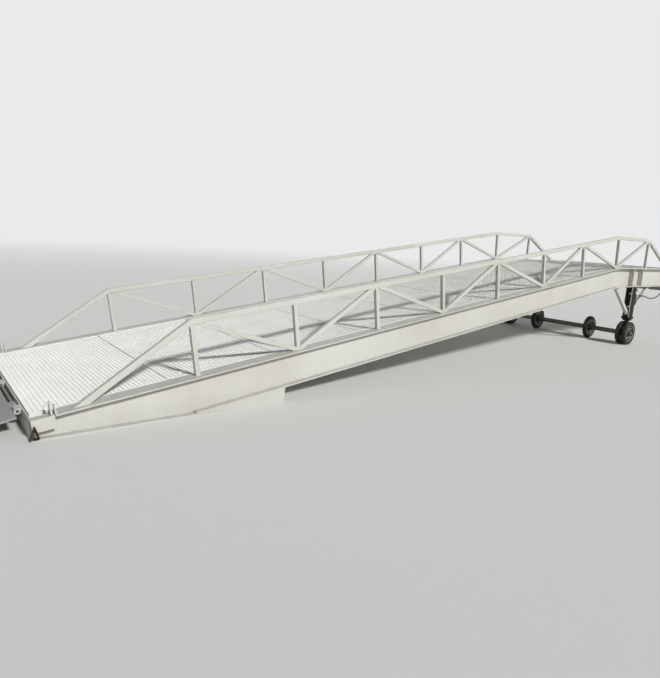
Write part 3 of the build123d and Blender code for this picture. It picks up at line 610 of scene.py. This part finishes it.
# Guards. Square tube trusses: posts and diagonals are coped and fillet-welded between the
# beam's top flange and a mitred chord, whose ends come down to the flange as braces.
guard_height, chord_size, post_size = 0.48, 0.05, 0.04
chord_corner = 0.005
chord_under, chord_middle = guard_height - chord_size, guard_height - chord_size / 2
low_foot, high_foot = 0.91, 0.87  # of the end braces, out from the end posts
fall = chord_middle / panel  # of the diagonals
half_post, half_chord = post_size / 2, chord_size / 2
half_band = half_post * (1 + fall**2) ** 0.5  # half the diagonal's height, measured upright
last_post = 8
low_seam, high_seam = bead_proud, chord_under - bead_proud
corners = ((-1, -1), (1, -1), (1, 1), (-1, 1), (-1, -1))
for side, middle in sides.items():
    for part, dressing in (("chord", chord_corner), ("posts", bent), ("diagonals", bent)):
        softened(f"guard_{part}_{side}", dressing)
    seams = []
    for number in range(last_post + 1):
        post = number * panel
        for height in (low_seam, high_seam):
            seams.append([on_deck(post + u * half_post, height, middle + v * half_post) for u, v in corners])
        for hand in (-1, 1):
            if not 0 <= number + hand <= last_post:
                continue
            if number % 2:
                reach, seam = half_band / fall, low_seam
                corner = half_post * fall + half_band
            else:
                reach, seam = (half_chord + half_band) / fall, high_seam
                corner = chord_middle - half_post * fall - half_band
            profile = [(reach, seam), (half_post, seam), (half_post, corner)]
            near_line = [on_deck(post + hand * u, v, middle - half_post) for u, v in profile]
            far_line = [on_deck(post + hand * u, v, middle + half_post) for u, v in reversed(profile)]
            seams.append(near_line + far_line + near_line[:1])
    for foot, top in ((-low_foot, 0), (incline_length + panel + high_foot, incline_length + panel)):
        reach = half_chord * (1 + (abs(foot - top) / chord_middle) ** 2) ** 0.5
        seams.append([on_deck(foot + u * reach, low_seam, middle + v * half_chord) for u, v in corners])
    weld(f"guard_welds_{side}", seams, ripple=0.005)

# End plates and hinge pins. Plates close the deck between the webs at both ends and carry
# knuckles for turned steel pins, which stay bare and greasy.
for node in ("low_end_plate", "high_end_plate"):
    softened(node, sawn)


def mirrored(half):
    """A whole profile from the half of it that lies beyond the middle."""
    return [(radius, -along) for radius, along in reversed(half)] + half


def turned(
    name, profile, centre, axis, steps, finish=plated, body="ramp", worn=None, band=(0, 0)
):
    """A lathe-turned piece: a closed profile of (radius, place along the axis) points. Faces
    whose radius lies in the band have the worn finish."""
    shape = bmesh.new()
    ring = [shape.verts.new((radius, 0, along)) for radius, along in profile]
    for number, vertex in enumerate(ring):
        shape.edges.new((vertex, ring[(number + 1) % len(ring)]))
    bmesh.ops.spin(
        shape,
        geom=shape.verts[:] + shape.edges[:],
        cent=(0, 0, 0),
        axis=(0, 0, 1),
        angle=2 * pi,
        steps=steps,
        use_merge=True,
    )
    bmesh.ops.remove_doubles(shape, verts=shape.verts, dist=1e-6)
    bmesh.ops.dissolve_degenerate(shape, edges=shape.edges, dist=1e-7)
    bmesh.ops.recalc_face_normals(shape, faces=shape.faces)
    for face in shape.faces:
        radius = face.calc_center_median().xy.length
        if band[0] < radius < band[1]:
            face.material_index = 1
    mesh = bpy.data.meshes.new(name)
    shape.to_mesh(mesh)
    shape.free()
    mesh.shade_smooth()
    mesh.set_sharp_from_angle(angle=radians(35))
    mesh.materials.append(finish)
    if worn:
        mesh.materials.append(worn)
    aimed = Vector(axis).to_track_quat("Z", "Y").to_matrix().to_4x4()
    mesh.transform(Matrix.Translation(centre) @ aimed)
    piece = placed(name, mesh)
    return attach(piece, body)


def bare(name, steel, rusty, amount, roughness):
    """Uncoated steel: dark and handled smooth, with brown rust over the given share of it."""
    material, tree, shader, position = coat(name)
    place = position["Object"]
    bloom = add(tree, "ShaderNodeTexNoise", {"Vector": place, "Scale": 35, "Detail": 7})
    bloom = add(tree, "ShaderNodeMapRange", {0: bloom, 1: 0.68 - amount / 2, 2: 0.8 - amount / 2})
    colour = add(tree, "ShaderNodeMix", {0: bloom, 6: linear(steel), 7: linear(rusty)}, data_type="RGBA")
    metal = add(tree, "ShaderNodeMapRange", {0: bloom, 3: 0.9, 4: 0.1})
    rough = add(tree, "ShaderNodeMapRange", {0: bloom, 3: roughness, 4: 0.85})
    grain = add(tree, "ShaderNodeTexNoise", {"Vector": place, "Scale": 400, "Detail": 4})
    relief = add(tree, "ShaderNodeBump", {"Strength": 0.4, "Distance": 0.0005, "Height": grain})
    tree.links.new(colour.outputs[2], shader["Base Color"])
    tree.links.new(metal.outputs[0], shader["Metallic"])
    tree.links.new(rough.outputs[0], shader["Roughness"])
    tree.links.new(relief.outputs[0], shader["Normal"])
    return material


# Drawn steel bar for pins and spindles, oily and grey with rust freckles
pin_steel = bare("oiled steel bar", "6E6C68", "6A4630", amount=0.3, roughness=0.38)
chamfer = 0.002
for node in ("flap_pin", "lip_pin"):
    low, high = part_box(node)
    radius, reach = (high.z - low.z) / 2, (high.y - low.y) / 2
    profile = mirrored([(radius, reach - chamfer), (radius - chamfer, reach), (0, reach)])
    pin = turned(f"turned_{node}", profile, (low + high) / 2, (0, 1, 0), 32, pin_steel)
    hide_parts(node)


# Entry flap and dock lip. Steel plates hang on the pins, the flap lying on the ground at its
# nose and the lip hanging down. Their paint is scrubbed to steel where the wheels roll.
track_y = 0.52  # of each wheel track's middle


def trodden(name, paint, steel):
    """Grey paint, with two bare wheel tracks on the side that turns up or to the dock."""
    material = enamel(name, paint, "858684", roughness=0.55, chipped=0.7, dust=0.4)
    tree = material.node_tree
    shader = tree.nodes["Principled BSDF"].inputs
    under = shader["Base Color"].links[0].from_socket
    position = add(tree, "ShaderNodeTexCoord").outputs
    place = position["Object"]
    across = add(tree, "ShaderNodeSeparateXYZ", {0: place}).outputs["Y"]
    across = add(tree, "ShaderNodeMath", {0: across}, operation="ABSOLUTE")
    off_track = add(tree, "ShaderNodeMath", {0: across, 1: track_y}, operation="SUBTRACT")
    off_track = add(tree, "ShaderNodeMath", {0: off_track}, operation="ABSOLUTE")
    track = add(tree, "ShaderNodeMapRange", {0: off_track, 1: 0.42, 2: 0.05})
    drawn = add(tree, "ShaderNodeMapping", {"Vector": place, "Scale": (2, 45, 2)})
    scuff = add(tree, "ShaderNodeTexNoise", {"Vector": drawn, "Scale": 1.5, "Detail": 6})
    scuff = add(tree, "ShaderNodeMapRange", {0: scuff, 1: 0.35, 2: 0.75, 4: 0.7})
    rubbed = add(tree, "ShaderNodeMath", {0: track, 1: scuff}, operation="MULTIPLY")
    rolled_on = add(
        tree, "ShaderNodeVectorMath", {0: position["Normal"], 1: (1, 0, 1)}, operation="DOT_PRODUCT"
    )
    rolled_on = add(tree, "ShaderNodeMapRange", {0: rolled_on.outputs["Value"], 1: 0.3, 2: 0.6})
    rubbed = add(tree, "ShaderNodeMath", {0: rubbed, 1: rolled_on}, operation="MULTIPLY")
    colour = add(tree, "ShaderNodeMix", {0: rubbed, 6: under, 7: linear(steel)}, data_type="RGBA")
    tree.links.new(colour.outputs[2], shader["Base Color"])
    return material


# Plate paint: the frame's grey, thinned to dark steel in the tracks
plate_paint = trodden("grey enamel worn by wheels", "9EA09E", "6B6B6B")
softened("entry_flap", rolled, plate_paint, body="entry_flap")
softened("dock_lip", rolled, plate_paint, body="dock_lip")

# Legs. Telescopic square tubes stand under the beams with gusseted head plates, bolted up
# through the flange, and a collar at the mouth. They are black, with pale grey V braces.
leg_half, head_plate, collar_height = 0.06, 0.012, 0.035
bolt_along, bolt_across = 0.082, 0.055  # of the head bolts, out from the leg's middle
head_bolt, head_stud = 0.019, 0.02
pipe_off, pipe_across = 0.0105, 0.046  # of the pipe's middle, off the leg's face and its middle
pipe_radius, nut_radius, nut_length, nut_taper = 0.006, 0.01, 0.014, 0.002
pipe_end = [(0, 0), (nut_radius, 0), (nut_radius, nut_length), (pipe_radius, nut_length + nut_taper)]
pipe_clip, clip_shares = (0.036, 0.036, 0.003), (0.35, 0.8)  # its size, and places up the pipe
clip_forward, clip_aside = 0.008, 0.014

# Black machinery enamel: its gloss gone dull under a film of yard dust
leg_paint = enamel("black machinery enamel", "14120F", "1E1B17", roughness=0.72, chipped=0.76, dust=0.12)
leg_paint.node_tree.nodes["Principled BSDF"].inputs["Specular IOR Level"].default_value = 0.3
leg_edge = enamel("black enamel on worn edges", "1C1A17", "2F2A25", roughness=0.72, chipped=0.64, dust=0.12)
for side, middle in sides.items():
    softened(f"leg_outer_{side}", sawn, leg_paint, leg_edge)
    softened(f"leg_stem_{side}", sawn, leg_paint, leg_edge, "undercarriage")
    softened(f"leg_braces_{side}", bent)
    outer_low, outer_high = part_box(f"leg_outer_{side}")
    head_z = outer_high.z
    head_places = [
        (Vector((leg_x + u * bolt_along, middle + v * bolt_across, z)), Vector((0, 0, facing)))
        for facing, z in ((-1, head_z - head_plate), (1, head_z + flange_thickness))
        for u in (-1, 1)
        for v in (-1, 1)
    ]
    bolts(f"head_bolts_{side}", head_places, head_bolt, stud=head_stud)
    seams = [
        [(leg_x + u * leg_half, middle + v * leg_half, z) for u, v in corners]
        for z in (outer_low.z + collar_height, head_z - head_plate - bead_proud)
    ]
    weld(f"leg_welds_{side}", seams, ripple=0.005, finish=leg_paint)
    # A zinc-plated pipe runs down the leg's outer corner, between nuts, under two clips
    outward = -1 if side == "near" else 1
    pipe_y = middle + outward * pipe_across
    pipe_foot = Vector((leg_x - leg_half - pipe_off, pipe_y, outer_low.z + collar_height))
    pipe_length = head_z - head_plate - pipe_foot.z
    profile = pipe_end + [(radius, pipe_length - along) for radius, along in reversed(pipe_end)]
    turned(f"leg_feed_pipe_{side}", profile, pipe_foot, (0, 0, 1), steps=20)
    clips = [
        (pipe_foot + Vector((-clip_forward, -outward * clip_aside, share * pipe_length)), Vector((-1, 0, 0)))
        for share in clip_shares
    ]
    bolts(f"leg_pipe_clips_{side}", clips, clip_bolt, plate=pipe_clip)

# Axle. One turned steel tube through both foot plates, with stop collars beside the inner
# wheels and a nut at each end. It is greasy, and rubbed grey where its mill scale has gone.
axle_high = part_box("axle")[1]
wheel_radius = 0.19
axle_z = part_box("tyre_near_inner")[0].z + wheel_radius
axle_radius, spindle_radius, shoulder_chamfer = 0.038, 0.0225, 0.003
collar_radius, collar_width, nut_thickness, axle_nut = 0.05, 0.014, 0.014, 0.02
inner_wheel_y, twin_offset, shoulder_gap = 0.5, 0.055, 0.02
hub_length, bearing_clearance = 0.064, 0.0003
shoulder_y = beam_y - twin_offset - hub_length / 2 - shoulder_gap
nut_y = axle_high.y - nut_thickness
wheel_room = hub_length / 2 + bearing_clearance
half_profile = [(axle_radius, 0)]
for start in (inner_wheel_y - wheel_room - collar_width, inner_wheel_y + wheel_room):
    end = start + collar_width
    half_profile += [
        (axle_radius, start),
        (collar_radius - chamfer, start),
        (collar_radius, start + chamfer),
        (collar_radius, end - chamfer),
        (collar_radius - chamfer, end),
        (axle_radius, end),
    ]
half_profile += [
    (axle_radius, shoulder_y - shoulder_chamfer),
    (axle_radius - shoulder_chamfer, shoulder_y),
    (spindle_radius, shoulder_y),
    (spindle_radius, axle_high.y - chamfer),
    (spindle_radius - chamfer, axle_high.y),
    (0, axle_high.y),
]
# Round tube with its mill scale rubbed off, grey over dark
axle_steel = bare("greasy axle steel", "6F6D69", "4A3D35", amount=0.3, roughness=0.45)
profile, middle = mirrored(half_profile), (leg_x, 0, axle_z)
axle = turned("turned_axle", profile, middle, (0, 1, 0), 48, axle_steel, "undercarriage")
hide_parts("axle")
nut_places = [(Vector((leg_x, hand * nut_y, axle_z)), Vector((0, hand, 0))) for hand in (-1, 1)]
bolts("axle_nuts", nut_places, axle_nut, "undercarriage")

# Wheels. Solid black rubber tyres pressed on steel rims, the disc welded to a thick boss.
# Twin wheels stand either side of each foot and one runs inside each; rims shine where scuffed.
def rubber(name, black, dusty, roughness):
    """Solid tyre rubber: matt, scuffed round the tread and pale with dust."""
    material, tree, shader, position = coat(name)
    place = position["Object"]
    grit = {"Vector": place, "Scale": 16, "Detail": 8, "Roughness": 0.65}
    film = add(tree, "ShaderNodeTexNoise", grit)
    film = add(tree, "ShaderNodeMapRange", {0: film, 1: 0.4, 2: 0.75, 4: 0.75})
    colour = add(tree, "ShaderNodeMix", {0: film, 6: linear(black), 7: linear(dusty)}, data_type="RGBA")
    grain = add(tree, "ShaderNodeTexNoise", {"Vector": place, "Scale": 500, "Detail": 5})
    relief = add(tree, "ShaderNodeBump", {"Strength": 0.5, "Distance": 0.0006, "Height": grain})
    shader["Roughness"].default_value = roughness
    tree.links.new(colour.outputs[2], shader["Base Color"])
    tree.links.new(relief.outputs[0], shader["Normal"])
    return material


# Solid tyre rubber: near black, with grey-brown dust in its grain
tyre_rubber = rubber("solid tyre rubber", "1C1B1A", "413B34", roughness=0.85)
# Black enamel on the discs, with rim lips rubbed to steel
hub_paint = enamel("black wheel enamel", "1F1E1D", "2B2926", roughness=0.4, chipped=0.74, dust=0.2)
rim_steel = bare("rubbed rim steel", "A3A19B", "6A4A36", amount=0.25, roughness=0.35)
half_tyre, rim_radius, rim_flange, rim_recess = 0.03, 0.13, 0.004, 0.002
# Half a tyre's profile: how far each point lies in from the tread and from the tyre's side
tread_steps = ((0, 0.022), (0.002, 0.014), (0.006, 0.008), (0.014, 0.0025), (0.023, 0.0025), (0.026, 0))
tyre_profile = [(wheel_radius - down, half_tyre - inward) for down, inward in tread_steps]
rim_half = half_tyre - rim_recess
tyre_profile += [(rim_radius + rim_flange, half_tyre), (rim_radius, rim_half)]
rim_lip, rim_wall, rim_slope, rim_fillet = 0.008, 0.012, 0.006, 0.004
disc_half, boss_wall, boss_fillet, boss_chamfer = 0.006, 0.026, 0.006, 0.004
bolt_circle, wheel_bolt = 0.088, 0.017
wheel_table = {  # body, places of the discs across the ramp, radius of what they run on
    "near_twin": ("twin_wheels_near", (-beam_y - twin_offset, -beam_y + twin_offset), spindle_radius),
    "near_inner": ("inner_wheel_near", (-inner_wheel_y,), axle_radius),
    "far_inner": ("inner_wheel_far", (inner_wheel_y,), axle_radius),
    "far_twin": ("twin_wheels_far", (beam_y - twin_offset, beam_y + twin_offset), spindle_radius),
}
for name, (body, places, journal) in wheel_table.items():
    bore = journal + bearing_clearance
    boss = bore + boss_wall
    hub_profile = [
        (rim_radius, rim_half),
        (rim_radius - rim_lip, rim_half),
        (rim_radius - rim_wall, rim_half - rim_slope),
        (rim_radius - rim_wall, disc_half + rim_fillet),
        (rim_radius - rim_wall - rim_fillet, disc_half),
        (boss + boss_fillet, disc_half),
        (boss, disc_half + boss_fillet),
        (boss, hub_length / 2 - boss_chamfer),
        (boss - boss_chamfer, hub_length / 2),
        (bore, hub_length / 2),
    ]
    for number, place in enumerate(places):
        centre = Vector((leg_x, place, axle_z))
        profile = mirrored(tyre_profile)
        named = f"{name}_{number}"
        tyre = turned(f"solid_tyre_{named}", profile, centre, (0, 1, 0), 72, tyre_rubber, body)
        profile, rim = mirrored(hub_profile), (rim_radius - rim_wall, rim_radius)
        hub = turned(
            f"wheel_hub_{named}", profile, centre, (0, 1, 0), 64, hub_paint, body,
            rim_steel, rim,
        )
        ring = []
        for angle in [pi / 3 * spoke for spoke in range(6)]:
            for face in (-1, 1):
                step = Vector((bolt_circle * cos(angle), face * disc_half, bolt_circle * sin(angle)))
                ring.append((centre + step, Vector((0, face, 0))))
        bolts(f"wheel_bolts_{named}", ring, wheel_bolt, body)
        if number == 0:
            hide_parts(f"tyre_{name}")
            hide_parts(f"hub_{name}")

# Hand pump. An oil tank with a filler cap stands on the near leg's dock side, and the pump
# on it has a socket for a loose lever. All of it is black enamel apart from the cap.
pump_corner = 0.003
cap_along, cap_across, cap_up = 0.07, 0.026, 0.17
pump_paint = enamel("black pump enamel", "181818", "242321", roughness=0.33, chipped=0.78, dust=0.2)
softened("hand_pump", pump_corner, pump_paint, leg_edge)
pump_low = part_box("hand_pump")[0]
cap_place = (pump_low.x + cap_along, cap_across - beam_y, pump_low.z + cap_up)
cap_neck, cap_radius, cap_top = 0.011, 0.014, 0.017
profile = [(0, 0), (cap_neck, 0), (cap_neck, 0.006), (cap_radius, 0.007)]
profile += [(cap_radius, cap_top - chamfer), (cap_radius - chamfer, cap_top), (0, cap_top)]
turned("filler_cap", profile, cap_place, (0, 0, 1), steps=24)

# Hose. A steel-braided rubber hydraulic hose leaves the tank through a hexagon fitting, hangs
# past the brace and comes up to a block under the bottom flange. It is held at both ends.
fitting_low, fitting_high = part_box("hose_fitting")
block_low, block_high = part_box("hose_block")
hose_radius = 0.008
hose_start = (fitting_low + fitting_high) / 2
hose_start.x = fitting_high.x
hose_end = (block_low + block_high) / 2
hose_end.x = block_low.x
hose_run = (  # points from the fitting on: along, out from the leg and up
    (0, 0, 0), (0.062, 0, 0), (0.14, 0.016, -0.004), (0.225, 0.026, -0.014),
    (0.325, 0.027, -0.038), (0.435, 0.028, -0.056), (0.55, 0.028, -0.06),
    (0.66, 0.028, -0.046), (0.765, 0.027, -0.014), (0.855, 0.024, 0.032),
)
route = [hose_start + Vector((x, -y, z)) for x, y, z in hose_run]
route += [hose_end + Vector(step) for step in ((-0.084, -0.002, -0.034), (-0.034, 0, 0), (0, 0, 0))]
# Hose rubber: black with a faint sheen
hose_rubber = rubber("hydraulic hose rubber", "161616", "38342F", roughness=0.5)
curve = bpy.data.curves.new("hose", "CURVE")
curve.dimensions = "3D"
curve.bevel_depth = hose_radius
curve.bevel_resolution = 5
curve.resolution_u = 12
curve.use_fill_caps = True
spline = curve.splines.new("NURBS")
spline.points.add(len(route) - 1)
for point, place in zip(spline.points, route):
    point.co = (*place, 1)
spline.order_u = 3
spline.use_endpoint_u = True
drawn = placed("hose_line", curve)
shown = drawn.evaluated_get(bpy.context.evaluated_depsgraph_get())
mesh = bpy.data.meshes.new_from_object(shown)
bpy.data.objects.remove(drawn)
mesh.materials.clear()
mesh.materials.append(hose_rubber)
mesh.shade_smooth()
hose = placed("hydraulic_hose", mesh)
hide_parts("pump_hose")
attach(hose, "ramp")
for node, dressing in (("hose_fitting", rolled), ("hose_block", rolled), ("leg_pipe", sheared)):
    softened(node, dressing, plated, plated)
ferrule, groove, mouth, ferrule_length = 0.0115, 0.0108, 0.0095, 0.034
profile = [
    (hose_radius, 0), (ferrule, 0.001), (ferrule, 0.012), (groove, 0.014), (ferrule, 0.016),
    (ferrule, 0.03), (mouth, ferrule_length), (hose_radius, ferrule_length),
]
turned("tank_ferrule", profile, hose_start, (1, 0, 0), steps=28)
turned("block_ferrule", profile, hose_end, (-1, 0, 0), steps=28)

# Tow gear. A rectangular socket is welded beside each web's end, with two drilled lugs behind
# it and a forged triangular link hanging from a pin. The link is bare and rusted dark.
forged_corner = 0.004
rusty_steel = bare("rusted forged steel", "312D2A", "453429", amount=0.4, roughness=0.6)
for side, middle in sides.items():
    softened(f"tow_socket_{side}", rolled)
    softened(f"tow_lugs_{side}", rolled)
    softened(f"tow_link_{side}", forged_corner, rusty_steel, rusty_steel)


# Studio. A pale floor fades into the backdrop, under a broad key light from the near side,
# a weak fill from the far dock corner and a soft even sky. None of it is part of the ramp.
backdrop_colour = linear("E9EAEA")
floor_half = 60


def seen_itself(tree):
    """1 where the camera sees the floor or sky, straight, mirrored or through glass, else 0."""
    rays = add(tree, "ShaderNodeLightPath").outputs
    seen = rays["Is Camera Ray"]
    for kind in ("Is Glossy Ray", "Is Transmission Ray"):
        seen = add(tree, "ShaderNodeMath", {0: seen, 1: rays[kind]}, operation="MAXIMUM")
    return seen


floor_mesh = bpy.data.meshes.new("floor")
floor_corners = [(u * floor_half, v * floor_half, 0) for u, v in corners[:4]]
floor_mesh.from_pydata(floor_corners, [], [(0, 1, 2, 3)])
floor = placed("floor", floor_mesh)
floor_paint, tree, shader, position = coat("pale studio floor")
away = add(tree, "ShaderNodeVectorMath", {0: position["Object"]}, operation="LENGTH").outputs["Value"]
fade = add(tree, "ShaderNodeMapRange", {0: away, 1: 7.0, 2: 45.0}, interpolation_type="SMOOTHSTEP")
fade = add(tree, "ShaderNodeMath", {0: fade, 1: seen_itself(tree)}, operation="MULTIPLY")
glow = add(tree, "ShaderNodeEmission", {"Color": backdrop_colour, "Strength": 1.0})
shader["Base Color"].default_value = linear("D6D6D3")
shader["Roughness"].default_value = 0.9
blend = add(tree, "ShaderNodeMixShader", {0: fade, 1: tree.nodes["Principled BSDF"], 2: glow})
tree.links.new(blend.outputs[0], tree.nodes["Material Output"].inputs["Surface"])
floor_mesh.materials.append(floor_paint)

for name, strength, spread, direction in (
    ("key", 3.15, radians(6), (-0.10, 0.845, -0.60)),
    ("fill", 0.4, radians(50), (-0.6, -0.7, -0.35)),
):
    sun = placed(name, bpy.data.lights.new(name, "SUN"))
    sun.data.energy = strength
    sun.data.angle = spread
    sun.rotation_euler = Vector(direction).to_track_quat("-Z", "Y").to_euler()
world = bpy.data.worlds.new("sky")
world.use_nodes = True
tree = world.node_tree
even = add(tree, "ShaderNodeBackground", {"Color": linear("F1F4F8"), "Strength": 0.22})
behind = add(tree, "ShaderNodeBackground", {"Color": backdrop_colour, "Strength": 1.0})
blend = add(tree, "ShaderNodeMixShader", {0: seen_itself(tree), 1: even, 2: behind})
tree.links.new(blend.outputs[0], tree.nodes["World Output"].inputs["Surface"])
bpy.context.scene.world = world
bpy.context.scene.view_settings.view_transform = "Standard"
